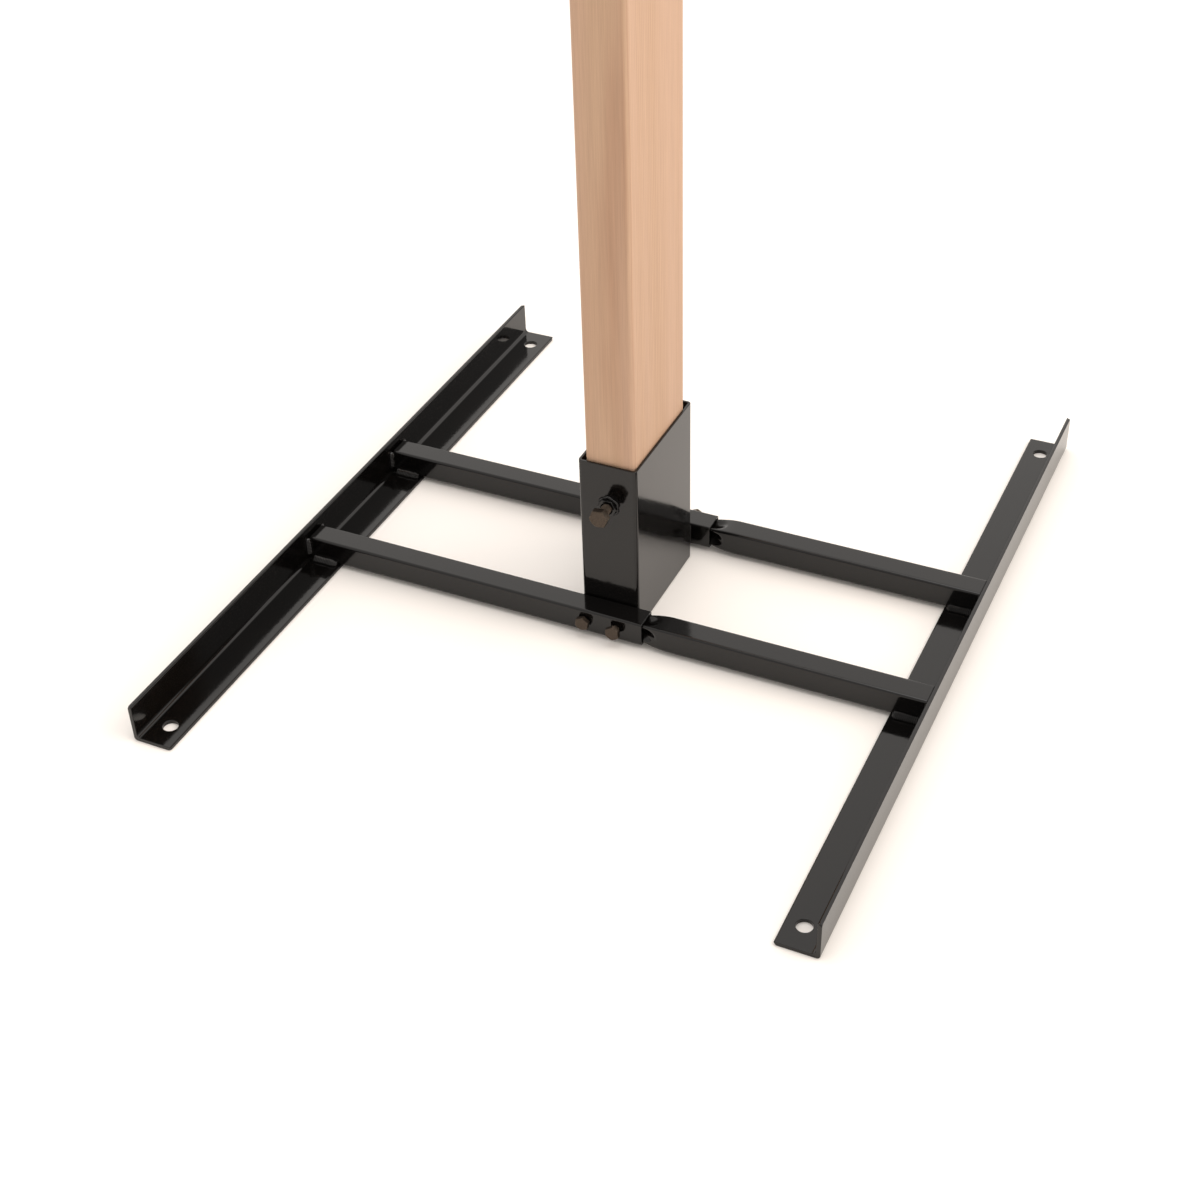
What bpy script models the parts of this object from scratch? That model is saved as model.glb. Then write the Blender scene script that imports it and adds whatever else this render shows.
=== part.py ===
"""Knock-down steel H base that holds a sawn-timber post upright.

Two angle-iron feet lie along Y. Each carries two square bars along X. The right pair of bars is
swaged down at its inner ends, which plug into the left pair and are locked there by set bolts.
A rectangular socket stands between the left bars, and a clamp bolt in its front wall grips the post.

Metres, +Z up, +Y to the back. The origin is on the floor, in the middle of the four bars.
"""

from math import atan2, cos, pi, radians, sin

import bmesh
import bpy
from mathutils import Euler, Vector

MM = 0.001
GAP = 0.3 * MM  # between pieces that touch on the real stand

# Overall
BASE_WIDTH = 500 * MM
FOOT_LENGTH = 600 * MM

# Feet: equal angle, heel down and outwards
ANGLE_LEG = 30 * MM
ANGLE_THICKNESS = 3 * MM
ANGLE_HEEL_RADIUS = 2.5 * MM
ANGLE_ROOT_RADIUS = 3 * MM
FOOT_CORNER_RADIUS = 2.5 * MM
STAKE_HOLE_DIAMETER = 11 * MM
STAKE_HOLE_FROM_END = 19.5 * MM
STAKE_HOLE_FROM_HEEL = 17 * MM

# Bars: square tube
BAR_SIDE = 19.05 * MM
BAR_WALL = 1.5 * MM
BAR_CORNER_RADIUS = 2 * MM
BAR_SPACING = 129 * MM
BAR_TO_ANGLE = 2 * MM  # the bar stops at the angle's root radius, and the weld fills the rest
LEFT_BAR_END = 33 * MM

# Swaged ends of the right bars
PLUG_SIDE = 15.4 * MM
PLUG_TIP = -45 * MM
SWAGE_START = LEFT_BAR_END + 1 * MM
SWAGE_LENGTH = 18 * MM
SWAGE_STEPS = 6

# Socket for the post
SOCKET_WIDTH = 44.5 * MM
SOCKET_DEPTH = 100 * MM
SOCKET_BOTTOM = 1 * MM
SOCKET_TOP = 139 * MM
SOCKET_WALL = 2 * MM
SOCKET_CORNER_RADIUS = 3 * MM
SPACER_WIDTH = 32 * MM

# Post: planed softwood, nominal two by four
POST_WIDTH = 38 * MM
POST_DEPTH = 89 * MM
POST_LENGTH = 914 * MM
POST_EDGE_RADIUS = 4 * MM
POST_END_CHAMFER = 1 * MM
POST_FRONT_CLEARANCE = 1.1 * MM
POST_SIDE_SHIFT = 0.9 * MM

# M8 clamp bolt and its weld nut, a thin one, set a little off the socket's middle
CLAMP_X = 1 * MM
CLAMP_HEIGHT = 106 * MM
CLAMP_THREAD = 7.8 * MM
CLAMP_LENGTH = 16 * MM
CLAMP_FLATS = 13 * MM
CLAMP_HEAD = 5.3 * MM
CLAMP_NUT_THICKNESS = 4 * MM
CLAMP_HOLE = 9 * MM

# M6 lock bolts, two on the outer face of each left bar
LOCK_X = (-12.5 * MM, 12.5 * MM)
LOCK_THREAD = 5.8 * MM
LOCK_FLATS = 10 * MM
LOCK_HEAD = 4 * MM
LOCK_HOLE = 6.6 * MM
LOCK_STANDOFF = (1 * MM, 3 * MM)

HEX_SIDES = 24
ROUND_SIDES = 24
CORNER_STEPS = 4

# Worked out from the above
BAR_BOTTOM = ANGLE_THICKNESS + GAP
BAR_AXIS = BAR_BOTTOM + BAR_SIDE / 2
BAR_OUTER_Y = BAR_SPACING / 2 + BAR_SIDE / 2
BAR_INNER_Y = BAR_SPACING / 2 - BAR_SIDE / 2
BAR_FAR_END = BASE_WIDTH / 2 - ANGLE_THICKNESS - BAR_TO_ANGLE
SOCKET_FRONT = -BAR_INNER_Y + GAP
SOCKET_REAR = SOCKET_FRONT + SOCKET_DEPTH
POST_FRONT = SOCKET_FRONT + SOCKET_WALL + POST_FRONT_CLEARANCE
PLUG_FACE_Y = BAR_SPACING / 2 + PLUG_SIDE / 2


def clear_scene():
    for obj in list(bpy.data.objects):
        bpy.data.objects.remove(obj, do_unlink=True)


def paint(name, colour, roughness, metallic=0.0):
    material = bpy.data.materials.new(name)
    material.use_nodes = True
    shader = material.node_tree.nodes["Principled BSDF"]
    shader.inputs["Base Color"].default_value = (*colour, 1.0)
    shader.inputs["Roughness"].default_value = roughness
    shader.inputs["Metallic"].default_value = metallic
    material.diffuse_color = (*colour, 1.0)
    return material


def empty(name, location):
    obj = bpy.data.objects.new(name, None)
    obj.location = location
    obj.empty_display_size = 0.02
    bpy.context.scene.collection.objects.link(obj)
    return obj


def add_object(name, bm, material, location, rotation=(0, 0, 0), parent=None):
    """Link the mesh as an object that stands at a world place, under its parent."""
    bmesh.ops.recalc_face_normals(bm, faces=bm.faces[:])
    mesh = bpy.data.meshes.new(name)
    bm.to_mesh(mesh)
    bm.free()
    mesh.shade_smooth()
    mesh.set_sharp_from_angle(angle=radians(30))
    mesh.materials.append(material)
    obj = bpy.data.objects.new(name, mesh)
    obj.location = Vector(location) - (parent.location if parent else Vector())
    obj.rotation_euler = Euler([radians(angle) for angle in rotation])
    obj.parent = parent
    bpy.context.scene.collection.objects.link(obj)
    return obj


def extrude(bm, faces, offset):
    """Extrude a region and move it, returning its new faces and vertices."""
    edges = list({edge for face in faces for edge in face.edges})
    grown = bmesh.ops.extrude_face_region(bm, geom=faces + edges)["geom"]
    verts = [item for item in grown if isinstance(item, bmesh.types.BMVert)]
    bmesh.ops.translate(bm, verts=verts, vec=offset)
    return [item for item in grown if isinstance(item, bmesh.types.BMFace)], verts


def rounded_ring(bm, width, depth, wall, radius):
    """A flat frame in the XY plane: a rounded rectangle with its middle taken out."""
    bmesh.ops.create_grid(bm, x_segments=1, y_segments=1, size=0.5)
    bmesh.ops.scale(bm, vec=(width, depth, 1), verts=bm.verts[:])
    bmesh.ops.bevel(
        bm, geom=bm.verts[:], offset=radius, affect="VERTICES", segments=CORNER_STEPS, profile=0.5
    )
    middle = bm.faces[:]
    ring = bmesh.ops.inset_region(
        bm, faces=middle, thickness=wall, use_even_offset=True, use_boundary=True
    )["faces"]
    bmesh.ops.delete(bm, geom=middle, context="FACES_ONLY")
    return ring


def resize_section(verts, side, new_side, wall):
    """Grow a square tube's end section about its axis, keeping its wall."""
    outer = new_side / side
    inner = (new_side - 2 * wall) / (side - 2 * wall)
    for vert in verts:
        on_outside = max(abs(vert.co.x), abs(vert.co.y)) > side / 2 - wall / 2
        factor = outer if on_outside else inner
        vert.co.x *= factor
        vert.co.y *= factor


def round_outline(diameter):
    return lambda angle: diameter / 2


def hex_outline(flats):
    """Radius of a hexagon across its flats at each angle, with a flat facing angle 0."""
    return lambda angle: flats / 2 / cos((angle + pi / 6) % (pi / 3) - pi / 6)


def stacked_solid(sections, sides):
    """A closed solid on the Z axis, grown upwards from section to section.

    Each section is (height, outline), and an outline gives the radius at an angle.
    """
    bm = bmesh.new()
    ring = bmesh.ops.create_circle(bm, cap_ends=True, segments=sides, radius=1)["verts"]
    top = bm.faces[:]
    for index, (height, outline) in enumerate(sections):
        if index:
            top, ring = extrude(bm, top, (0, 0, 0))
        for vert in ring:
            angle = atan2(vert.co.y, vert.co.x)
            radius = outline(angle)
            vert.co = (radius * cos(angle), radius * sin(angle), height)
    return bm


def drill(target, centre, axis, diameter, depth):
    """Cut a round hole along an axis, with the cutter kept out of the model."""
    bm = bmesh.new()
    bmesh.ops.create_cone(
        bm, cap_ends=True, segments=ROUND_SIDES, radius1=diameter / 2, radius2=diameter / 2, depth=depth
    )
    bmesh.ops.recalc_face_normals(bm, faces=bm.faces[:])
    mesh = bpy.data.meshes.new("cutter")
    bm.to_mesh(mesh)
    bm.free()
    cutter = bpy.data.objects.new("cutter", mesh)
    cutter.location = centre
    cutter.rotation_euler = Vector(axis).to_track_quat("Z", "Y").to_euler()
    cutter.hide_render = True
    cutter.display_type = "WIRE"
    bpy.context.scene.collection.objects.link(cutter)
    cut = target.modifiers.new("hole", "BOOLEAN")
    cut.operation = "DIFFERENCE"
    cut.object = cutter


def soften(obj, width, segments=2):
    """Break the sharp edges."""
    bevel = obj.modifiers.new("edges", "BEVEL")
    bevel.width = width
    bevel.segments = segments
    bevel.limit_method = "ANGLE"
    bevel.angle_limit = radians(40)


def angle_foot(name, side, material, parent=None):
    """One foot, its heel along the outer floor line of that side (-1 left, 1 right)."""
    bm = bmesh.new()
    corners = (
        (0, 0),
        (ANGLE_LEG, 0),
        (ANGLE_LEG, ANGLE_THICKNESS),
        (ANGLE_THICKNESS, ANGLE_THICKNESS),
        (ANGLE_THICKNESS, ANGLE_LEG),
        (0, ANGLE_LEG),
    )
    verts = [bm.verts.new((x, y, 0)) for x, y in corners]
    bm.faces.new(verts)
    for vert, radius in ((verts[0], ANGLE_HEEL_RADIUS), (verts[3], ANGLE_ROOT_RADIUS)):
        bmesh.ops.bevel(
            bm, geom=[vert], offset=radius, affect="VERTICES", segments=CORNER_STEPS, profile=0.5
        )
    extrude(bm, bm.faces[:], (0, 0, FOOT_LENGTH))
    ends = (0, FOOT_LENGTH)
    toe_corners = [
        edge
        for edge in bm.edges
        if any(all(abs(vert.co.z - end) < 1e-6 for vert in edge.verts) for end in ends)
        and any(all(abs(vert.co[axis] - ANGLE_LEG) < 1e-6 for vert in edge.verts) for axis in (0, 1))
    ]
    bmesh.ops.bevel(
        bm, geom=toe_corners, offset=FOOT_CORNER_RADIUS, affect="EDGES", segments=CORNER_STEPS, profile=0.5
    )
    turn = 0 if side < 0 else 180
    foot = add_object(
        name,
        bm,
        material,
        location=(side * BASE_WIDTH / 2, -side * FOOT_LENGTH / 2, 0),
        rotation=(90, 0, turn),
        parent=parent,
    )
    soften(foot, 0.4 * MM)
    hole_x = side * (BASE_WIDTH / 2 - STAKE_HOLE_FROM_HEEL)
    for end in (-1, 1):
        hole_y = end * (FOOT_LENGTH / 2 - STAKE_HOLE_FROM_END)
        drill(foot, (hole_x, hole_y, ANGLE_THICKNESS / 2), (0, 0, 1), STAKE_HOLE_DIAMETER, 4 * ANGLE_THICKNESS)
    return foot


def left_bar(name, row, material, parent=None):
    """A plain square tube from the left foot to just past the socket (row -1 front, 1 rear)."""
    bm = bmesh.new()
    ring = rounded_ring(bm, BAR_SIDE, BAR_SIDE, BAR_WALL, BAR_CORNER_RADIUS)
    extrude(bm, ring, (0, 0, LEFT_BAR_END + BAR_FAR_END))
    bar = add_object(
        name,
        bm,
        material,
        location=(-BAR_FAR_END, row * BAR_SPACING / 2, BAR_AXIS),
        rotation=(0, 90, 0),
        parent=parent,
    )
    for x in LOCK_X:
        drill(bar, (x, row * BAR_OUTER_Y, BAR_AXIS), (0, 1, 0), LOCK_HOLE, 3 * BAR_WALL)
    return bar


def right_bar(name, row, material, parent=None):
    """A square tube from the right foot whose inner end is swaged down to plug into the left bar."""
    bm = bmesh.new()
    plug_radius = BAR_CORNER_RADIUS * PLUG_SIDE / BAR_SIDE
    section = rounded_ring(bm, PLUG_SIDE, PLUG_SIDE, BAR_WALL, plug_radius)
    section, verts = extrude(bm, section, (0, 0, SWAGE_START - PLUG_TIP))
    side = PLUG_SIDE
    for step in range(1, SWAGE_STEPS + 1):
        eased = sin(pi / 2 * step / SWAGE_STEPS)
        new_side = PLUG_SIDE + (BAR_SIDE - PLUG_SIDE) * eased
        section, verts = extrude(bm, section, (0, 0, SWAGE_LENGTH / SWAGE_STEPS))
        resize_section(verts, side, new_side, BAR_WALL)
        side = new_side
    extrude(bm, section, (0, 0, BAR_FAR_END - SWAGE_START - SWAGE_LENGTH))
    return add_object(
        name,
        bm,
        material,
        location=(PLUG_TIP, row * BAR_SPACING / 2, BAR_AXIS),
        rotation=(0, 90, 0),
        parent=parent,
    )


def post_socket(material, parent=None):
    bm = bmesh.new()
    ring = rounded_ring(bm, SOCKET_WIDTH, SOCKET_DEPTH, SOCKET_WALL, SOCKET_CORNER_RADIUS)
    extrude(bm, ring, (0, 0, SOCKET_TOP - SOCKET_BOTTOM))
    centre_y = (SOCKET_FRONT + SOCKET_REAR) / 2
    socket = add_object("post_socket", bm, material, location=(0, centre_y, SOCKET_BOTTOM), parent=parent)
    drill(socket, (CLAMP_X, SOCKET_FRONT, CLAMP_HEIGHT), (0, 1, 0), CLAMP_HOLE, 3 * SOCKET_WALL)
    return socket


def box(name, low, high, material, edge_radius, end_chamfer, parent=None):
    """A block with rounded upright edges, its origin on its own middle at the foot."""
    bm = bmesh.new()
    size = Vector(high) - Vector(low)
    bmesh.ops.create_cube(bm, size=1)
    bmesh.ops.scale(bm, vec=size, verts=bm.verts[:])
    bmesh.ops.translate(bm, vec=(0, 0, size.z / 2), verts=bm.verts[:])
    upright = [edge for edge in bm.edges if abs(edge.verts[0].co.z - edge.verts[1].co.z) > 1e-6]
    bmesh.ops.bevel(
        bm, geom=upright, offset=edge_radius, affect="EDGES", segments=CORNER_STEPS, profile=0.5
    )
    rims = [
        edge
        for edge in bm.edges
        if abs(edge.verts[0].co.z - edge.verts[1].co.z) < 1e-6 and edge.calc_face_angle(0) > radians(60)
    ]
    bmesh.ops.bevel(bm, geom=rims, offset=end_chamfer, affect="EDGES", segments=1, profile=0.5)
    foot = ((low[0] + high[0]) / 2, (low[1] + high[1]) / 2, low[2])
    return add_object(name, bm, material, location=foot, parent=parent)


def hex_bolt(name, seat, facing, flats, head, thread, length, material):
    """A set bolt whose thread runs away from the facing direction, its origin under its head."""
    chamfer = 0.12 * head
    bm = stacked_solid(
        [
            (-length, round_outline(0.75 * thread)),
            (-length + 0.12 * thread, round_outline(thread)),
            (0, round_outline(thread)),
            (0, hex_outline(flats)),
            (head - chamfer, hex_outline(flats)),
            (head, round_outline(0.95 * flats)),
        ],
        HEX_SIDES,
    )
    turn = 90 if facing < 0 else -90
    return add_object(name, bm, material, location=seat, rotation=(turn, 0, 0))


def weld_nut(name, seat, flats, thickness, bore, material):
    """A plain nut standing on the socket's front wall, facing forwards."""
    chamfer = 0.1 * thickness
    bm = stacked_solid(
        [
            (0, hex_outline(flats)),
            (thickness - chamfer, hex_outline(flats)),
            (thickness, round_outline(0.95 * flats)),
        ],
        HEX_SIDES,
    )
    nut = add_object(name, bm, material, location=seat, rotation=(90, 0, 0))
    drill(nut, seat, (0, 1, 0), bore, 4 * thickness)
    return nut


def build():
    clear_scene()
    coat = paint("black_powder_coat", (0.010, 0.010, 0.010), 0.22)
    bare = paint("black_zinc", (0.030, 0.029, 0.028), 0.35, 0.6)
    wood = paint("planed_softwood", (0.68, 0.44, 0.27), 0.55)

    base = empty("base_frame", (0, 0, 0))
    plug_in = empty("plug_in_frame", (LEFT_BAR_END, 0, BAR_AXIS))

    angle_foot("left_foot", -1, coat, base)
    left_bar("left_front_bar", -1, coat, base)
    left_bar("left_rear_bar", 1, coat, base)
    post_socket(coat, base)
    box(
        "socket_spacer",
        (-SPACER_WIDTH / 2, SOCKET_REAR + GAP, BAR_BOTTOM),
        (SPACER_WIDTH / 2, BAR_INNER_Y - GAP, BAR_BOTTOM + BAR_SIDE),
        coat,
        0.8 * MM,
        0.5 * MM,
        base,
    )

    angle_foot("right_foot", 1, coat, plug_in)
    right_bar("right_front_bar", -1, coat, plug_in)
    right_bar("right_rear_bar", 1, coat, plug_in)

    box(
        "wood_post",
        (POST_SIDE_SHIFT - POST_WIDTH / 2, POST_FRONT, SOCKET_BOTTOM),
        (POST_SIDE_SHIFT + POST_WIDTH / 2, POST_FRONT + POST_DEPTH, SOCKET_BOTTOM + POST_LENGTH),
        wood,
        POST_EDGE_RADIUS,
        POST_END_CHAMFER,
    )

    nut_seat = (CLAMP_X, SOCKET_FRONT - GAP, CLAMP_HEIGHT)
    nut = weld_nut("clamp_nut", nut_seat, CLAMP_FLATS, CLAMP_NUT_THICKNESS, CLAMP_THREAD + 2 * GAP, coat)
    nut.parent = base
    clamp_seat = (CLAMP_X, POST_FRONT - GAP - CLAMP_LENGTH, CLAMP_HEIGHT)
    hex_bolt("clamp_bolt", clamp_seat, -1, CLAMP_FLATS, CLAMP_HEAD, CLAMP_THREAD, CLAMP_LENGTH, bare)

    for row, row_name in ((-1, "front"), (1, "rear")):
        for x, standoff, place in zip(LOCK_X, LOCK_STANDOFF, ("inner", "outer")):
            seat_y = BAR_OUTER_Y + standoff
            hex_bolt(
                f"{row_name}_lock_bolt_{place}",
                (x, row * seat_y, BAR_AXIS),
                row,
                LOCK_FLATS,
                LOCK_HEAD,
                LOCK_THREAD,
                seat_y - PLUG_FACE_Y - GAP,
                bare,
            )


build()
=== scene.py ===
from math import atan2, cos, hypot, pi, radians, sin, sqrt, tan

import bmesh
import bpy
from mathutils import Matrix, Vector, noise


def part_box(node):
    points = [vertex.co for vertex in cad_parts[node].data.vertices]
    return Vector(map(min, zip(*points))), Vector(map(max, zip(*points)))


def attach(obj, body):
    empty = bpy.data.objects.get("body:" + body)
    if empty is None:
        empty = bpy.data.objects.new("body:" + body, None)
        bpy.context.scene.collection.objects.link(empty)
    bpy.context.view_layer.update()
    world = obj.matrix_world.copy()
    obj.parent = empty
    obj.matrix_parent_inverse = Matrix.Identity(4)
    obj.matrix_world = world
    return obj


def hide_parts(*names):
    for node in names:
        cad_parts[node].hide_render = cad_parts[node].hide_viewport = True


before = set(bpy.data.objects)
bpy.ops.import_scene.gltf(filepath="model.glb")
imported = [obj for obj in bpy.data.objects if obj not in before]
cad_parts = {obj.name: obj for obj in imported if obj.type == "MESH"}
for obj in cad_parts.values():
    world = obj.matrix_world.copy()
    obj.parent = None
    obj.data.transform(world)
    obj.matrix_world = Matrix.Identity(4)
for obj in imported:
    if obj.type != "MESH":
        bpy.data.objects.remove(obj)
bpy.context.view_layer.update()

MM = 0.001


# Left foot. Equal steel angle, 30 x 30 x 3 mm, lying with its heel down and outwards, sawn to
# length with its corners knocked off, and drilled near each end for a ground stake.
# It is welded up with the left bars and the socket, then powder coated gloss black as one frame.
ANGLE_THICKNESS = 3 * MM
HEEL_RADIUS = 2.5 * MM
ROOT_RADIUS = 3 * MM
TOE_RADIUS = 0.9 * MM
CORNER_RADIUS = 2.5 * MM
STAKE_HOLE = 11 * MM
HOLE_FROM_END = 19.5 * MM
HOLE_FROM_HEEL = 17 * MM
COATED_EDGE = 0.45 * MM  # what the coat and the grinder leave of a sawn edge
HOLE_SIDES = 48
EDGE_STEPS = 3
BROKEN_ANGLE = radians(38)  # flatter corners than this belong to a curve and are left alone
SAME_PLACE = 0.01 * MM


def linear(hex_colour):
    """An sRGB hex colour as the linear colour that the shaders take."""
    parts = [int(hex_colour[place : place + 2], 16) / 255 for place in (1, 3, 5)]
    return (*[part / 12.92 if part <= 0.04045 else ((part + 0.055) / 1.055) ** 2.4 for part in parts], 1)


def add_node(tree, kind, settings=None, links=None):
    """Add a shader node, set its options or inputs, and feed its inputs from other nodes."""
    item = tree.nodes.new("ShaderNode" + kind)
    for key, value in (settings or {}).items():
        if isinstance(key, str) and hasattr(item, key):
            setattr(item, key, value)
        else:
            item.inputs[key].default_value = value
    for key, source in (links or {}).items():
        tree.links.new(source, item.inputs[key])
    return item


def gloss_black_powder_coat():
    """Polyester powder, sprayed and baked: black, with a clear gloss over a faint orange peel."""
    material = bpy.data.materials.new("gloss_black_powder_coat")
    material.use_nodes = True
    tree = material.node_tree
    shader = tree.nodes["Principled BSDF"]
    shader.inputs["IOR"].default_value = 1.44
    place = add_node(tree, "TexCoord").outputs["Object"]

    # the film's thickness drifts over a few centimetres, which warms and lightens it a little
    drift = add_node(tree, "TexNoise", {"Scale": 28, "Detail": 3}, {"Vector": place})
    tone = add_node(
        tree,
        "Mix",
        {"data_type": "RGBA", "A": linear("#060606"), "B": linear("#0c0a09")},
        {"Factor": drift.outputs["Fac"]},
    )
    tree.links.new(tone.outputs["Result"], shader.inputs["Base Color"])

    # grains that did not flow out flat, about 0.5 mm apart, dull the gloss in specks
    grains = add_node(tree, "TexNoise", {"Scale": 2000, "Detail": 2}, {"Vector": place})
    dulling = add_node(
        tree,
        "MapRange",
        {"From Min": 0.3, "From Max": 0.75, "To Min": 0.05, "To Max": 0.15},
        {"Value": grains.outputs["Fac"]},
    )
    smears = add_node(
        tree,
        "MapRange",
        {"From Min": 0.35, "From Max": 0.7, "To Min": -0.02, "To Max": 0.03},
        {"Value": drift.outputs["Fac"]},
    )
    dull = add_node(
        tree, "Math", {"operation": "ADD"}, {0: dulling.outputs["Result"], 1: smears.outputs["Result"]}
    )
    tree.links.new(dull.outputs["Value"], shader.inputs["Roughness"])

    # orange peel about 2.5 mm across, with the finer grains on it
    peel = add_node(tree, "TexNoise", {"Scale": 400, "Detail": 1}, {"Vector": place})
    swell = add_node(
        tree, "Bump", {"Strength": 1.0, "Distance": 0.016 * MM}, {"Height": peel.outputs["Fac"]}
    )
    nap = add_node(
        tree,
        "Bump",
        {"Strength": 1.0, "Distance": 0.004 * MM},
        {"Height": grains.outputs["Fac"], "Normal": swell.outputs["Normal"]},
    )
    tree.links.new(nap.outputs["Normal"], shader.inputs["Normal"])
    return material


def extrude(bm, faces, offset):
    """Extrude a region and move it, returning its new faces and vertices."""
    edges = list({edge for face in faces for edge in face.edges})
    grown = bmesh.ops.extrude_face_region(bm, geom=faces + edges)["geom"]
    verts = [item for item in grown if isinstance(item, bmesh.types.BMVert)]
    bmesh.ops.translate(bm, verts=verts, vec=offset)
    return [item for item in grown if isinstance(item, bmesh.types.BMFace)], verts


def round_off(bm, geom, radius, affect, steps):
    """Round corners of an outline, or edges of a solid."""
    bmesh.ops.bevel(
        bm, geom=geom, offset=radius, affect=affect, segments=steps, profile=0.5, material=-1
    )


def combine(bm, tool, operation):
    """Take the tool's shape out of a closed shape, or keep only what both hold."""
    holders = []
    for shape in (bm, tool):
        bmesh.ops.recalc_face_normals(shape, faces=shape.faces[:])
        mesh = bpy.data.meshes.new("blank")
        shape.to_mesh(mesh)
        shape.free()
        holders.append(bpy.data.objects.new("blank", mesh))
        bpy.context.scene.collection.objects.link(holders[-1])
    cut = holders[0].modifiers.new("cut", "BOOLEAN")
    cut.operation = operation
    cut.object = holders[1]
    result = bmesh.new()
    result.from_object(holders[0], bpy.context.evaluated_depsgraph_get())
    for holder in holders:
        bpy.data.meshes.remove(holder.data)
    return result


def drill(bm, centre, axis, diameter, depth):
    """Drill a round hole through a closed shape."""
    bit = bmesh.new()
    turn = Vector(axis).to_track_quat("Z", "Y").to_matrix().to_4x4()
    bmesh.ops.create_cone(
        bit,
        cap_ends=True,
        segments=HOLE_SIDES,
        radius1=diameter / 2,
        radius2=diameter / 2,
        depth=depth,
        matrix=Matrix.Translation(centre) @ turn,
    )
    return combine(bm, bit, "DIFFERENCE")


def make_piece(name, bm, finish, body, stands_for=None, edge=None):
    """Make a shape a piece of its body, in a finish, with its sharp edges broken."""
    bmesh.ops.recalc_face_normals(bm, faces=bm.faces[:])
    mesh = bpy.data.meshes.new(name)
    bm.to_mesh(mesh)
    bm.free()
    mesh.shade_smooth()
    mesh.materials.append(finish)
    piece = bpy.data.objects.new(name, mesh)
    bpy.context.scene.collection.objects.link(piece)
    if edge:
        broken = piece.modifiers.new("broken_edges", "BEVEL")
        broken.width = edge
        broken.segments = EDGE_STEPS
        broken.limit_method = "ANGLE"
        broken.angle_limit = BROKEN_ANGLE
        broken.use_clamp_overlap = False
    # flats stay flat to the eye where they run into a rounded corner
    flats = piece.modifiers.new("flat_faces", "WEIGHTED_NORMAL")
    flats.mode = "FACE_AREA"
    flats.weight = 100
    flats.keep_sharp = True
    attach(piece, body)
    if stands_for:
        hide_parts(stands_for)
    return piece


def angle_foot(node, side):
    """One foot: the angle's outline at its front end, pushed back to its full length."""
    low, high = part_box(node)
    leg = high.z
    bm = bmesh.new()
    outline = (
        (0, 0),
        (leg, 0),
        (leg, ANGLE_THICKNESS),
        (ANGLE_THICKNESS, ANGLE_THICKNESS),
        (ANGLE_THICKNESS, leg),
        (0, leg),
    )
    verts = [bm.verts.new((x, low.y, z)) for x, z in outline]
    bm.faces.new(verts)
    heel, toe_in_low, root, toe_in_high = verts[0], verts[2], verts[3], verts[4]
    round_off(bm, [heel], HEEL_RADIUS, "VERTICES", 6)
    round_off(bm, [root], ROOT_RADIUS, "VERTICES", 8)
    round_off(bm, [toe_in_low, toe_in_high], TOE_RADIUS, "VERTICES", 3)
    extrude(bm, bm.faces[:], (0, high.y - low.y, 0))
    end_corners = [
        edge
        for edge in bm.edges
        if len({round(vert.co.y, 6) for vert in edge.verts}) == 1
        and any(all(abs(vert.co[axis] - leg) < SAME_PLACE for vert in edge.verts) for axis in (0, 2))
    ]
    round_off(bm, end_corners, CORNER_RADIUS, "EDGES", 6)
    if side > 0:
        bmesh.ops.scale(bm, vec=(-1, 1, 1), verts=bm.verts[:])
    heel_x = high.x if side > 0 else low.x
    bmesh.ops.translate(bm, vec=(heel_x, 0, 0), verts=bm.verts[:])
    for y in (low.y + HOLE_FROM_END, high.y - HOLE_FROM_END):
        centre = (heel_x - side * HOLE_FROM_HEEL, y, ANGLE_THICKNESS / 2)
        bm = drill(bm, centre, (0, 0, 1), STAKE_HOLE, 4 * ANGLE_THICKNESS)
    return bm


coat = gloss_black_powder_coat()
make_piece(
    "left_angle_foot",
    angle_foot("left_foot", -1),
    coat,
    "base_frame",
    "left_foot",
    COATED_EDGE,
)


# Left bars. Square steel tube, 19 mm with a 1.5 mm wall, one behind the other. Each runs from the
# left foot, past the socket, to a plain sawn end that takes the right bar's plug. Two holes are
# tapped in its outer face for the lock bolts.
BAR_WALL = 1.5 * MM
BAR_CORNER = 2 * MM
BAR_EDGE = 0.3 * MM
LOCK_HOLE = 6.2 * MM


def tube_section(bm, width, depth, wall, radius, steps, cuts=0):
    """A rounded rectangle with its middle taken out, flat in the XY plane."""
    bmesh.ops.create_grid(bm, x_segments=1, y_segments=1, size=0.5)
    bmesh.ops.scale(bm, vec=(width, depth, 1), verts=bm.verts[:])
    round_off(bm, bm.verts[:], radius, "VERTICES", steps)
    middle = bm.faces[:]
    ring = bmesh.ops.inset_region(
        bm, faces=middle, thickness=wall, use_even_offset=True, use_boundary=True
    )["faces"]
    bmesh.ops.delete(bm, geom=middle, context="FACES_ONLY")
    flats = [edge for edge in bm.edges if edge.calc_length() > width / 2]
    if cuts:
        bmesh.ops.subdivide_edges(bm, edges=flats, cuts=cuts, use_grid_fill=True)
        ring = bm.faces[:]
    return ring


def lay_along_x(bm, start_x, centre):
    """Turn a shape built up the Z axis so that it runs along X from a starting place."""
    bmesh.ops.rotate(bm, matrix=Matrix.Rotation(pi / 2, 3, "Y"), verts=bm.verts[:])
    bmesh.ops.translate(bm, vec=(start_x, centre.y, centre.z), verts=bm.verts[:])


def lock_places(row):
    """Where the two lock bolts of the front or rear bar stand along X."""
    for which in ("inner", "outer"):
        low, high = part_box(f"{row}_lock_bolt_{which}")
        yield which, (low.x + high.x) / 2


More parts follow.
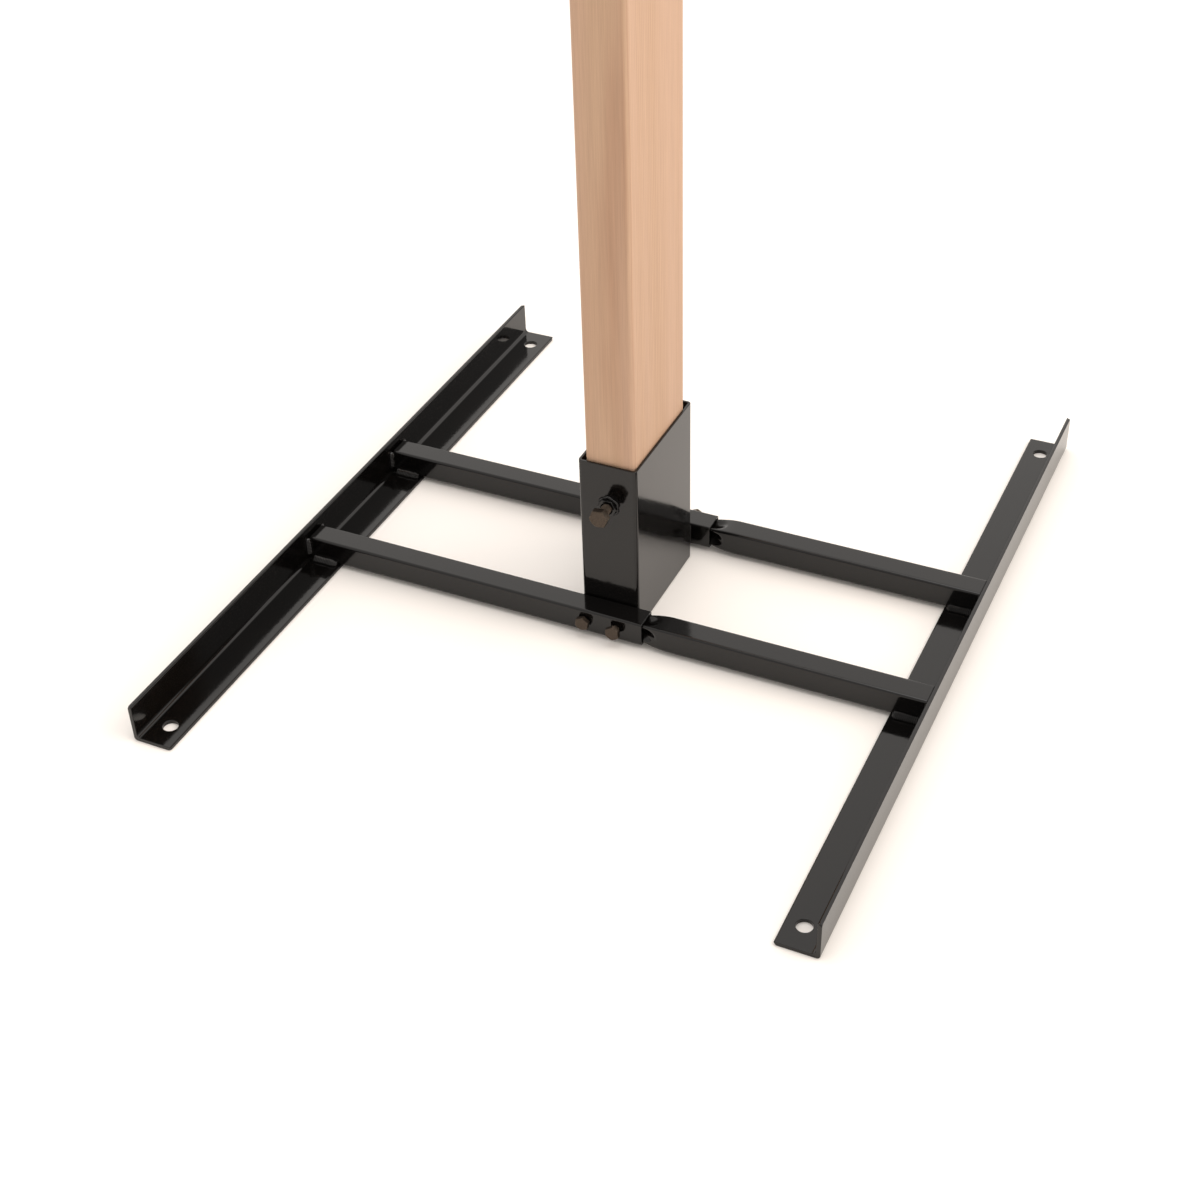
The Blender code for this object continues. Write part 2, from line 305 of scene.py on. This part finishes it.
for row, facing in (("front", -1), ("rear", 1)):
    low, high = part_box(f"left_{row}_bar")
    side = high.z - low.z
    bm = bmesh.new()
    ring = tube_section(bm, side, side, BAR_WALL, BAR_CORNER, 6)
    extrude(bm, ring, (0, 0, high.x - low.x))
    lay_along_x(bm, low.x, (low + high) / 2)
    outer_face = low.y if facing < 0 else high.y
    for _, x in lock_places(row):
        bm = drill(bm, (x, outer_face, (low.z + high.z) / 2), (0, 1, 0), LOCK_HOLE, 3 * BAR_WALL)
    make_piece(
        f"left_{row}_tube", bm, coat, "base_frame", f"left_{row}_bar", BAR_EDGE
    )


# Welds of the left foot. Hand-laid fillet beads close the corners between each bar's end and the
# angle: up each side of the bar against the standing leg, and along each side of it on the flat
# leg. The coat covers them, so only their ripples and toes catch the light.
RIPPLE = 1.4 * MM
UPRIGHT_BEAD = 3.6 * MM
FLAT_BEAD = 5.0 * MM
BEAD_SIDES = 20
STEPS_PER_RIPPLE = 5
RIPPLE_SWELL = 0.07  # this and the next two are parts of the bead's leg
HAND_WANDER = 0.14
RIPPLE_LEAN = 0.3
WANDER_LENGTH = 5 * MM
WANDER_SPREAD = 90  # sets each bead's wander apart by where it starts
BEAD_TIP = 0.02  # keeps a bead's very end from closing to nothing


def fillet_reach(angle):
    """How far a bead of unit leg reaches from its corner, at an angle from its outward side."""
    return 0.60 + 0.32 * cos(angle) - 0.10 * cos(4 * angle)


def weld_bead(bm, start, end, outward, leg):
    """Add a fillet bead along a corner, its ripples leaning towards the end on the outward side."""
    start, end, outward = Vector(start), Vector(end), Vector(outward).normalized()
    length = (end - start).length
    bead = bmesh.new()
    bmesh.ops.create_circle(bead, cap_ends=True, segments=BEAD_SIDES, radius=1)
    top = bead.faces[:]
    ring = bead.verts[:]
    steps = round(length / (RIPPLE / STEPS_PER_RIPPLE))
    seed = start * WANDER_SPREAD
    for step in range(steps + 1):
        if step:
            top, ring = extrude(bead, top, (0, 0, 0))
        along = length * step / steps
        to_end = min(along, length - along)
        rounded = sqrt(max(BEAD_TIP, 1 - max(0, 1 - to_end / leg) ** 2))
        wander = noise.noise(seed + Vector((along / WANDER_LENGTH, 0, 0)))
        swell = 1 + RIPPLE_SWELL * cos(2 * pi * along / RIPPLE) + HAND_WANDER * wander
        for vert in ring:
            angle = atan2(vert.co.y, vert.co.x)
            lean = RIPPLE_LEAN * leg * cos(angle) * rounded
            radius = leg * fillet_reach(angle) * rounded * swell
            vert.co = (radius * cos(angle), radius * sin(angle), along + lean)
    up = (end - start).normalized()
    turn = Matrix((outward, up.cross(outward), up)).transposed()
    bmesh.ops.transform(bead, matrix=Matrix.Translation(start) @ turn.to_4x4(), verts=bead.verts[:])
    mesh = bpy.data.meshes.new("bead")
    bead.to_mesh(mesh)
    bead.free()
    bm.from_mesh(mesh)
    bpy.data.meshes.remove(mesh)


def foot_joint_weld(half, row, side, body):
    """The four beads of one bar's end on its foot."""
    bar_low, bar_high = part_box(f"{half}_{row}_bar")
    foot_low, foot_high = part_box(f"{half}_foot")
    standing_leg = foot_low.x + ANGLE_THICKNESS if side < 0 else foot_high.x - ANGLE_THICKNESS
    flat_toe = foot_high.x if side < 0 else foot_low.x
    bm = bmesh.new()
    for face_y, facing in ((bar_low.y, -1), (bar_high.y, 1)):
        foot_end = (standing_leg, face_y, ANGLE_THICKNESS + ROOT_RADIUS / 2)
        top_end = (standing_leg, face_y, bar_high.z - BAR_CORNER / 2)
        weld_bead(bm, foot_end, top_end, (-side, facing, 0), UPRIGHT_BEAD)
        root_end = (standing_leg - side * ROOT_RADIUS / 2, face_y, ANGLE_THICKNESS)
        toe_end = (flat_toe + side * BAR_CORNER, face_y, ANGLE_THICKNESS)
        weld_bead(bm, root_end, toe_end, (0, facing, 1), FLAT_BEAD)
    make_piece(f"{half}_{row}_foot_weld", bm, coat, body)


for row in ("front", "rear"):
    foot_joint_weld("left", row, -1, "base_frame")


# Post socket. Rectangular steel tube, about 44 x 100 mm with a 2 mm wall, standing on end between
# the left bars. It is open at the top and at the bottom, and its front wall is drilled for the
# clamp bolt. A flat packing piece fills the space between it and the rear bar.
SOCKET_WALL = 2 * MM
SOCKET_CORNER = 3 * MM
SOCKET_EDGE = 0.4 * MM
CLAMP_HOLE = 9 * MM
PACKING_EDGE = 0.8 * MM

low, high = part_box("post_socket")
nut_low, nut_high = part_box("clamp_nut")
clamp_place = (nut_low + nut_high) / 2
bm = bmesh.new()
ring = tube_section(bm, high.x - low.x, high.y - low.y, SOCKET_WALL, SOCKET_CORNER, 8)
extrude(bm, ring, (0, 0, high.z - low.z))
bmesh.ops.translate(bm, vec=((low.x + high.x) / 2, (low.y + high.y) / 2, low.z), verts=bm.verts[:])
bm = drill(bm, (clamp_place.x, low.y, clamp_place.z), (0, 1, 0), CLAMP_HOLE, 3 * SOCKET_WALL)
make_piece("socket_tube", bm, coat, "base_frame", "post_socket", SOCKET_EDGE)

low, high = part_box("socket_spacer")
bm = bmesh.new()
bmesh.ops.create_cube(bm, size=1)
bmesh.ops.scale(bm, vec=high - low, verts=bm.verts[:])
bmesh.ops.translate(bm, vec=(low + high) / 2, verts=bm.verts[:])
make_piece("packing_piece", bm, coat, "base_frame", "socket_spacer", PACKING_EDGE)


# Welds of the socket. Beads run up its two front corners against the front bar, and up the four
# corners that the packing piece makes with the socket and with the rear bar. Two more run along
# the packing piece's top edges.
SOCKET_BEAD = 2.4 * MM
STOP_SHORT = 2 * MM  # how far from the end of a corner the bead stops
CORNER_GAP = 0.2 * MM

socket_low, socket_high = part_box("post_socket")
front_low, front_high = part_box("left_front_bar")
pack_low, pack_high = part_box("socket_spacer")
bm = bmesh.new()
for side in (-1, 1):
    wall_x = socket_high.x if side > 0 else socket_low.x
    corner_x = wall_x - side * SOCKET_CORNER / 3
    corner_y = front_high.y + CORNER_GAP
    weld_bead(
        bm,
        (corner_x, corner_y, front_low.z + STOP_SHORT),
        (corner_x, corner_y, front_high.z - STOP_SHORT),
        (side, 1, 0),
        SOCKET_BEAD,
    )
    pack_x = pack_high.x if side > 0 else pack_low.x
    for face_y, facing in ((pack_low.y, -1), (pack_high.y, 1)):
        weld_bead(
            bm,
            (pack_x, face_y, pack_low.z + STOP_SHORT),
            (pack_x, face_y, pack_high.z - STOP_SHORT / 2),
            (side, -facing, 0),
            SOCKET_BEAD,
        )
for face_y, facing in ((pack_low.y, 1), (pack_high.y, -1)):
    weld_bead(
        bm,
        (pack_low.x + STOP_SHORT, face_y, pack_high.z),
        (pack_high.x - STOP_SHORT, face_y, pack_high.z),
        (0, facing, 1),
        SOCKET_BEAD,
    )
make_piece("socket_weld", bm, coat, "base_frame")


# Clamp nut. A thin M8 steel nut, welded round its foot to the socket's front wall over the
# drilled hole, and coated with the frame.
NUT_FLATS = 13 * MM
NUT_BORE = 8.1 * MM
COUNTERSINK = 0.7 * MM
FORGED_EDGE = 0.15 * MM
FORGED_SIZE = 0.99  # forged hexagons come a little under their nominal width
CORNER_ROOM = 1.02  # the blank that a hexagon is cut from, against its corners
FACE_RADIUS = 0.475  # the flat end face, against the width across flats
CHAMFER = radians(30)
NUT_BEAD = 1.3 * MM
BEAD_RING = 1.06  # the bead's core, against the nut's half width
HEX_FOLLOWING = 0.06  # how far the bead follows the corners, against its core
NUT_RIPPLES = 34
NUT_RIPPLE_SWELL = 0.12  # this and the next are parts of the bead's own radius
NUT_HAND_WANDER = 0.3
NUT_BEAD_SIDES = 10
NUT_BEAD_STEPS = 144


def hexagon(flats, height):
    """A hexagonal prism standing on the XY plane, a flat facing +X."""
    bm = bmesh.new()
    bmesh.ops.create_cone(
        bm,
        cap_ends=True,
        segments=6,
        radius1=flats / sqrt(3),
        radius2=flats / sqrt(3),
        depth=height,
        matrix=Matrix.Translation((0, 0, height / 2)) @ Matrix.Rotation(pi / 6, 4, "Z"),
    )
    return bm


def turned(profile, segments=64):
    """A solid turned about Z from (height, radius) steps, lowest first."""
    bm = bmesh.new()
    bmesh.ops.create_circle(bm, cap_ends=True, segments=segments, radius=1)
    top = bm.faces[:]
    ring = bm.verts[:]
    for step, (height, radius) in enumerate(profile):
        if step:
            top, ring = extrude(bm, top, (0, 0, 0))
        for vert in ring:
            spread = hypot(vert.co.x, vert.co.y)
            vert.co = (vert.co.x * radius / spread, vert.co.y * radius / spread, height)
    return bm


def chamfered_hexagon(flats, height, both_ends=False):
    """A hexagon turned off at 30 degrees, so that each flat ends in a shallow arc."""
    corner = flats / sqrt(3) * CORNER_ROOM
    flat_top = FACE_RADIUS * flats
    fall = (corner - flat_top) * tan(CHAMFER)
    profile = [(height - fall, corner), (height, flat_top)]
    if both_ends:
        profile = [(0, flat_top), (fall, corner)] + profile
    else:
        profile = [(-height, corner)] + profile
    return combine(hexagon(flats, height), turned(profile), "INTERSECT")


def face_forwards(bm, seat, facing):
    """Turn a shape built up the Z axis so that it points along -Y or +Y from its seat."""
    turn = Matrix.Rotation(-facing * pi / 2, 3, "X")
    bmesh.ops.rotate(bm, matrix=turn, verts=bm.verts[:])
    bmesh.ops.translate(bm, vec=seat, verts=bm.verts[:])


nut_height = nut_high.y - nut_low.y
nut_seat = (clamp_place.x, nut_high.y, clamp_place.z)
bore = NUT_BORE / 2
bm = combine(
    chamfered_hexagon(NUT_FLATS * FORGED_SIZE, nut_height, both_ends=True),
    turned(
        [
            (-nut_height, bore),
            (nut_height - COUNTERSINK, bore),
            (nut_height + COUNTERSINK, bore + 2 * COUNTERSINK),
        ]
    ),
    "DIFFERENCE",
)
face_forwards(bm, nut_seat, -1)
make_piece("clamp_weld_nut", bm, coat, "base_frame", "clamp_nut", FORGED_EDGE)

# the bead is a ring round the nut's foot, swollen by its ripples and drawn out to the corners
bm = bmesh.new()
ring_radius = NUT_FLATS / 2 * BEAD_RING
bmesh.ops.create_circle(
    bm,
    segments=NUT_BEAD_SIDES,
    radius=NUT_BEAD,
    matrix=Matrix.Translation((ring_radius, 0, 0)) @ Matrix.Rotation(pi / 2, 4, "X"),
)
bmesh.ops.spin(
    bm,
    geom=bm.edges[:],
    axis=(0, 0, 1),
    cent=(0, 0, 0),
    angle=2 * pi,
    steps=NUT_BEAD_STEPS,
    use_merge=True,
)
bmesh.ops.remove_doubles(bm, verts=bm.verts[:], dist=0.001 * MM)
for vert in bm.verts:
    angle = atan2(vert.co.y, vert.co.x)
    outwards = Vector((cos(angle), sin(angle), 0))
    from_core = vert.co - ring_radius * outwards
    wander = noise.noise(2 * outwards)
    bulge = NUT_RIPPLE_SWELL * cos(NUT_RIPPLES * angle) + NUT_HAND_WANDER * wander
    hexed = ring_radius * HEX_FOLLOWING * cos(6 * angle + pi)
    vert.co += from_core * bulge + outwards * hexed
face_forwards(bm, nut_seat, -1)
make_piece("clamp_nut_weld", bm, coat, "base_frame")


# Right foot. The same angle as the left one, mirrored, for the half of the base that plugs in.
make_piece(
    "right_angle_foot",
    angle_foot("right_foot", 1),
    coat,
    "plug_in_frame",
    "right_foot",
    COATED_EDGE,
)


# Right bars. The same square tube as the left ones, with its inner end swaged: pressed down all
# round to a 15 mm square plug that slides into the left bar, and opening out again over 18 mm.
# The press leaves a hollow along each flat of the plug, which fades out in the first 11 mm of the
# neck, and the corners stand proud of it.
PLUG_SIDE = 15.4 * MM
PLUG_STEPS = 6
NECK_OFF_BAR = 1 * MM  # the neck starts this far outside the left bar's end
NECK_LENGTH = 18 * MM
NECK_STEPS = 24
FLAT_CUTS = 11  # lines along each flat, for the hollow to bend at
HOLLOW_FADE = 11 * MM
HOLLOW_DEPTH = 3.6 * MM


def press_neck(vert, side, from_neck):
    """Press one point of a plain tube, built round the Z axis, into the swaged shape."""
    opened = sin(pi / 2 * min(1, max(0, from_neck / NECK_LENGTH)))
    new_side = PLUG_SIDE + (side - PLUG_SIDE) * opened
    reach = max(abs(vert.co.x), abs(vert.co.y))
    outside = reach > side / 2 - BAR_WALL / 2
    scale = new_side / side if outside else (new_side - 2 * BAR_WALL) / (side - 2 * BAR_WALL)
    across = min(abs(vert.co.x), abs(vert.co.y)) / (side / 2 - BAR_CORNER)
    along = max(0, from_neck / HOLLOW_FADE)
    hollow = HOLLOW_DEPTH * max(0, 1 - across**2 - along**2) ** 1.5
    flat_axis = 0 if abs(vert.co.x) > abs(vert.co.y) else 1
    vert.co.x *= scale
    vert.co.y *= scale
    vert.co[flat_axis] *= 1 - hollow / reach


for row in ("front", "rear"):
    low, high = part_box(f"right_{row}_bar")
    side = high.z - low.z
    bm = bmesh.new()
    section = tube_section(bm, side, side, BAR_WALL, BAR_CORNER, 6, cuts=FLAT_CUTS)
    neck_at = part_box(f"left_{row}_bar")[1].x + NECK_OFF_BAR - low.x
    lengths = [neck_at / PLUG_STEPS] * PLUG_STEPS
    lengths += [NECK_LENGTH / NECK_STEPS] * NECK_STEPS
    lengths += [high.x - low.x - neck_at - NECK_LENGTH]
    for length in lengths:
        section, _ = extrude(bm, section, (0, 0, length))
    for vert in bm.verts:
        press_neck(vert, side, vert.co.z - neck_at)
    lay_along_x(bm, low.x, (low + high) / 2)
    make_piece(
        f"right_{row}_tube", bm, coat, "plug_in_frame", f"right_{row}_bar", BAR_EDGE
    )
    foot_joint_weld("right", row, 1, "plug_in_frame")


# Lock bolts. M6 hex set bolts, black zinc plated, two in the outer face of each left bar. They
# press on the plug inside and keep the two halves together.
M6_THREAD = (5.8 * MM, 1 * MM)  # outer diameter, pitch
LOCK_FLATS = 10 * MM
LOCK_HEAD = 4 * MM
LOCK_EDGE = 0.12 * MM
WASHER_FACE = 0.3 * MM
WASHER_RADIUS = 0.46  # against the width across flats
THREAD_DEPTH = 0.61  # this and the next two are against the pitch
PLAIN_NECK = 0.6
POINT = 0.8
RINGS_PER_TURN = 10
SHANK_SIDES = 36


def black_zinc_plate():
    """Zinc plate with a black passivate: dark metal, a little brown, faintly clouded."""
    material = bpy.data.materials.new("black_zinc_plated_steel")
    material.use_nodes = True
    tree = material.node_tree
    shader = tree.nodes["Principled BSDF"]
    shader.inputs["Metallic"].default_value = 0.85
    place = add_node(tree, "TexCoord").outputs["Object"]
    # clouds about 1 mm across, where the passivate took more or less
    cloud = add_node(tree, "TexNoise", {"Scale": 1000, "Detail": 3}, {"Vector": place})
    rubbed = add_node(
        tree, "MapRange", {"From Min": 0.3, "From Max": 0.75}, {"Value": cloud.outputs["Fac"]}
    )
    tone = add_node(
        tree,
        "Mix",
        {"data_type": "RGBA", "A": linear("#3a322b"), "B": linear("#52483f")},
        {"Factor": rubbed.outputs["Result"]},
    )
    tree.links.new(tone.outputs["Result"], shader.inputs["Base Color"])
    dull = add_node(
        tree, "MapRange", {"To Min": 0.38, "To Max": 0.26}, {"Value": rubbed.outputs["Result"]}
    )
    tree.links.new(dull.outputs["Result"], shader.inputs["Roughness"])
    grit = add_node(tree, "TexNoise", {"Scale": 3000, "Detail": 2}, {"Vector": place})
    bump = add_node(tree, "Bump", {"Distance": 0.005 * MM}, {"Height": grit.outputs["Fac"]})
    tree.links.new(bump.outputs["Normal"], shader.inputs["Normal"])
    return material


def threaded_shank(thread, length):
    """A threaded rod up the Z axis from -length to 0, with a chamfered point and a plain neck."""
    diameter, pitch = thread
    steps = round(length / pitch * RINGS_PER_TURN)
    rings = [(-length * (1 - step / steps), diameter / 2) for step in range(steps + 1)]
    bm = turned(rings, SHANK_SIDES)
    for vert in bm.verts:
        turns = vert.co.z / pitch - atan2(vert.co.y, vert.co.x) / (2 * pi)
        cut_in = min(1, max(0, -vert.co.z / pitch - PLAIN_NECK))
        groove = THREAD_DEPTH * pitch * (1 - abs(2 * (turns % 1) - 1)) * cut_in
        point = max(0, POINT * pitch - (vert.co.z + length))
        radius = min(diameter / 2 - groove, diameter / 2 - point)
        spread = hypot(vert.co.x, vert.co.y)
        vert.co.x *= radius / spread
        vert.co.y *= radius / spread
    return bm


def hex_set_bolt(node, facing, flats, head, thread, stands_turned):
    """A hex bolt whose head stands on the outer side and whose point faces the middle."""
    low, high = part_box(node)
    centre = (low + high) / 2
    seat_y = low.y + head if facing < 0 else high.y - head
    length = high.y - low.y - head
    bm = chamfered_hexagon(flats * FORGED_SIZE, head - WASHER_FACE)
    bmesh.ops.translate(bm, vec=(0, 0, WASHER_FACE), verts=bm.verts[:])
    bmesh.ops.rotate(bm, matrix=Matrix.Rotation(radians(stands_turned), 3, "Z"), verts=bm.verts[:])
    # the washer face runs a little into the head, so that no gap shows between them
    washer_radius = WASHER_RADIUS * flats
    for part in (
        turned([(0, washer_radius), (1.2 * WASHER_FACE, washer_radius)]),
        threaded_shank(thread, length),
    ):
        mesh = bpy.data.meshes.new("part")
        part.to_mesh(mesh)
        part.free()
        bm.from_mesh(mesh)
        bpy.data.meshes.remove(mesh)
    face_forwards(bm, (centre.x, seat_y, centre.z), facing)
    return bm


plated = black_zinc_plate()
for row, facing in (("front", -1), ("rear", 1)):
    for which, stands_turned in (("inner", 22), ("outer", 33)):
        node = f"{row}_lock_bolt_{which}"
        make_piece(
            f"{row}_lock_set_bolt_{which}",
            hex_set_bolt(node, facing, LOCK_FLATS, LOCK_HEAD, M6_THREAD, stands_turned),
            plated,
            f"{row}_{which}_screw",
            node,
            LOCK_EDGE,
        )


# Post. Planed softwood, 38 x 89 mm, with rounded arrises as the mill leaves them. It stands loose
# in the socket until the clamp bolt presses on its front face.
POST_ARRIS = 4 * MM
POST_END_CHAMFER = 1 * MM
RING_SPACING = 2.6 * MM
PITH = (12 * MM, 210 * MM, 0)  # the log's centre, which leaves the wide faces nearly quarter-sawn


def planed_softwood():
    """Clear planed timber: pinkish tan, straight fine grain on the wide faces."""
    material = bpy.data.materials.new("planed_softwood")
    material.use_nodes = True
    tree = material.node_tree
    shader = tree.nodes["Principled BSDF"]
    shader.inputs["Specular IOR Level"].default_value = 0.35
    coords = add_node(tree, "TexCoord")
    place = coords.outputs["Object"]

    # the log wanders slowly as it rises, and each ring is a little uneven
    lengthwise = add_node(tree, "Mapping", {"Scale": (1, 1, 0.12)}, {"Vector": place})
    wander = add_node(
        tree, "TexNoise", {"Scale": 22, "Detail": 2}, {"Vector": lengthwise.outputs["Vector"]}
    )
    centred = add_node(
        tree, "VectorMath", {"operation": "SUBTRACT", 1: PITH}, {"Vector": lengthwise.outputs["Vector"]}
    )
    flat = add_node(
        tree,
        "VectorMath",
        {"operation": "MULTIPLY", 1: (1, 1, 0)},
        {"Vector": centred.outputs["Vector"]},
    )
    reach = add_node(
        tree, "VectorMath", {"operation": "LENGTH"}, {"Vector": flat.outputs["Vector"]}
    )
    uneven = add_node(
        tree,
        "Math",
        {"operation": "MULTIPLY_ADD", 1: 9 * MM},
        {0: wander.outputs["Fac"], 2: reach.outputs["Value"]},
    )
    rings = add_node(
        tree, "Math", {"operation": "DIVIDE", 1: RING_SPACING}, {0: uneven.outputs["Value"]}
    )
    within = add_node(tree, "Math", {"operation": "FRACT"}, {0: rings.outputs["Value"]})
    late = add_node(
        tree,
        "MapRange",
        {"interpolation_type": "SMOOTHSTEP", "From Min": 0.35, "From Max": 0.95},
        {"Value": within.outputs["Value"]},
    )
    back = add_node(
        tree,
        "MapRange",
        {"From Min": 0.95, "From Max": 1.0, "To Min": 1.0, "To Max": 0.0},
        {"Value": within.outputs["Value"]},
    )
    latewood = add_node(
        tree, "Math", {"operation": "MULTIPLY"}, {0: late.outputs["Result"], 1: back.outputs["Result"]}
    )

    # some rings are stronger than others, and the colour drifts across the board
    slow = add_node(tree, "Mapping", {"Scale": (70, 70, 1.6)}, {"Vector": place})
    drift = add_node(tree, "TexNoise", {"Scale": 1, "Detail": 2}, {"Vector": slow.outputs["Vector"]})
    strength = add_node(
        tree,
        "MapRange",
        {"From Min": 0.3, "From Max": 0.7, "To Min": 0.12, "To Max": 0.62},
        {"Value": drift.outputs["Fac"]},
    )
    shown = add_node(
        tree,
        "Math",
        {"operation": "MULTIPLY"},
        {0: latewood.outputs["Value"], 1: strength.outputs["Result"]},
    )
    early = add_node(
        tree,
        "Mix",
        {"data_type": "RGBA", "A": linear("#bf9d87"), "B": linear("#b8987a")},
        {"Factor": drift.outputs["Fac"]},
    )
    ringed = add_node(
        tree,
        "Mix",
        {"data_type": "RGBA", "B": linear("#a47b61")},
        {"Factor": shown.outputs["Value"], "A": early.outputs["Result"]},
    )

    # fibres, a third of a millimetre wide and a few centimetres long
    stretched = add_node(tree, "Mapping", {"Scale": (3000, 3000, 34)}, {"Vector": place})
    fibres = add_node(
        tree, "TexNoise", {"Scale": 1, "Detail": 3}, {"Vector": stretched.outputs["Vector"]}
    )
    streaks = add_node(tree, "Mapping", {"Scale": (620, 620, 9)}, {"Vector": place})
    streak = add_node(
        tree, "TexNoise", {"Scale": 1, "Detail": 2}, {"Vector": streaks.outputs["Vector"]}
    )
    fibre_tone = add_node(
        tree,
        "MapRange",
        {"From Min": 0.3, "From Max": 0.7, "To Min": 0.93, "To Max": 1.06},
        {"Value": fibres.outputs["Fac"]},
    )
    streak_tone = add_node(
        tree,
        "MapRange",
        {"From Min": 0.3, "From Max": 0.7, "To Min": 0.95, "To Max": 1.04},
        {"Value": streak.outputs["Fac"]},
    )
    tone = add_node(
        tree,
        "Math",
        {"operation": "MULTIPLY"},
        {0: fibre_tone.outputs["Result"], 1: streak_tone.outputs["Result"]},
    )

    # sawn end grain is darker
    facing = add_node(tree, "SeparateXYZ", links={0: coords.outputs["Normal"]})
    upward = add_node(tree, "Math", {"operation": "ABSOLUTE"}, {0: facing.outputs["Z"]})
    end_grain = add_node(
        tree,
        "MapRange",
        {"From Min": 0.8, "From Max": 0.95, "To Min": 1.0, "To Max": 0.72},
        {"Value": upward.outputs["Value"]},
    )
    shade = add_node(
        tree,
        "Math",
        {"operation": "MULTIPLY"},
        {0: tone.outputs["Value"], 1: end_grain.outputs["Result"]},
    )
    colour = add_node(
        tree,
        "VectorMath",
        {"operation": "SCALE"},
        {"Vector": ringed.outputs["Result"], "Scale": shade.outputs["Value"]},
    )
    tree.links.new(colour.outputs["Vector"], shader.inputs["Base Color"])
    dull = add_node(
        tree, "MapRange", {"To Min": 0.62, "To Max": 0.46}, {"Value": latewood.outputs["Value"]}
    )
    tree.links.new(dull.outputs["Result"], shader.inputs["Roughness"])
    ridges = add_node(
        tree, "Bump", {"Strength": 0.7, "Distance": 0.05 * MM}, {"Height": fibres.outputs["Fac"]}
    )
    tree.links.new(ridges.outputs["Normal"], shader.inputs["Normal"])
    return material


low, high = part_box("wood_post")
bm = bmesh.new()
bmesh.ops.create_cube(bm, size=1)
bmesh.ops.scale(bm, vec=high - low, verts=bm.verts[:])
arrises = [edge for edge in bm.edges if abs(edge.verts[0].co.z - edge.verts[1].co.z) > 1 * MM]
round_off(bm, arrises, POST_ARRIS, "EDGES", 8)
rims = [edge for edge in bm.edges if edge.calc_face_angle(0) > radians(60)]
round_off(bm, rims, POST_END_CHAMFER, "EDGES", 2)
bmesh.ops.translate(bm, vec=(low + high) / 2, verts=bm.verts[:])
make_piece("timber_post", bm, planed_softwood(), "post", "wood_post")


# Clamp bolt. An M8 x 16 hex set bolt in the same black zinc plate, run through the weld nut until
# its point presses on the post.
M8_THREAD = (7.8 * MM, 1.25 * MM)
CLAMP_FLATS = 13 * MM
CLAMP_HEAD = 5.3 * MM
CLAMP_TURNED = 8  # degrees, where the head stopped when it was done up
make_piece(
    "clamp_set_bolt",
    hex_set_bolt("clamp_bolt", -1, CLAMP_FLATS, CLAMP_HEAD, M8_THREAD, CLAMP_TURNED),
    plated,
    "clamp_screw",
    "clamp_bolt",
    FORGED_EDGE,
)


# Floor, light and camera. A wide pale floor under a bright studio dome that is brightest at the
# back, with a large soft light high on the right that lifts the post's wide face, and a smaller
# one overhead that keeps the floor white between the bars.
def pale_floor():
    material = bpy.data.materials.new("pale_matt_floor")
    material.use_nodes = True
    shader = material.node_tree.nodes["Principled BSDF"]
    shader.inputs["Base Color"].default_value = linear("#f4f0ec")
    shader.inputs["Roughness"].default_value = 0.9
    shader.inputs["Specular IOR Level"].default_value = 0.1
    return material


bm = bmesh.new()
bmesh.ops.create_grid(bm, x_segments=1, y_segments=1, size=30)
mesh = bpy.data.meshes.new("floor")
bm.to_mesh(mesh)
bm.free()
mesh.materials.append(pale_floor())
floor = bpy.data.objects.new("floor", mesh)
bpy.context.scene.collection.objects.link(floor)

world = bpy.data.worlds.new("studio_dome")
bpy.context.scene.world = world
world.use_nodes = True
dome = world.node_tree.nodes["Background"]
dome.inputs["Color"].default_value = linear("#fffaf5")
towards = add_node(world.node_tree, "TexCoord").outputs["Generated"]
parts = add_node(world.node_tree, "SeparateXYZ", links={0: towards})
backwards = add_node(
    world.node_tree,
    "MapRange",
    {"From Min": -0.6, "From Max": 0.6, "To Min": 0.9, "To Max": 1.45},
    {"Value": parts.outputs["Y"]},
)
world.node_tree.links.new(backwards.outputs["Result"], dome.inputs["Strength"])

lit_point = Vector((0, 0, 0.2))
for name, size, energy, colour, place in (
    ("soft_key", 2.4, 32, "#fff4e8", (2.2, 0.3, 2.0)),
    ("overhead", 1.2, 9, "#ffffff", (0, 0, 2.4)),
):
    light = bpy.data.lights.new(name, "AREA")
    light.shape = "DISK"
    light.size = size
    light.energy = energy
    light.color = linear(colour)[:3]
    lamp = bpy.data.objects.new(name, light)
    lamp.location = place
    lamp.rotation_euler = (lit_point - lamp.location).to_track_quat("-Z", "Y").to_euler()
    bpy.context.scene.collection.objects.link(lamp)

lens = bpy.data.cameras.new("camera")
lens.sensor_width = 36
lens.lens = 57.2
camera = bpy.data.objects.new("camera", lens)
stands_at = Matrix.Translation((0.4745, -1.0442, 0.8775))
heading = Matrix.Rotation(radians(26.014), 4, "Z")
tilt = Matrix.Rotation(radians(52.065), 4, "X")
roll = Matrix.Rotation(radians(-1.95), 4, "Z")
camera.matrix_world = stands_at @ heading @ tilt @ roll
bpy.context.scene.collection.objects.link(camera)
bpy.context.scene.camera = camera
bpy.context.scene.view_settings.view_transform = "Standard"
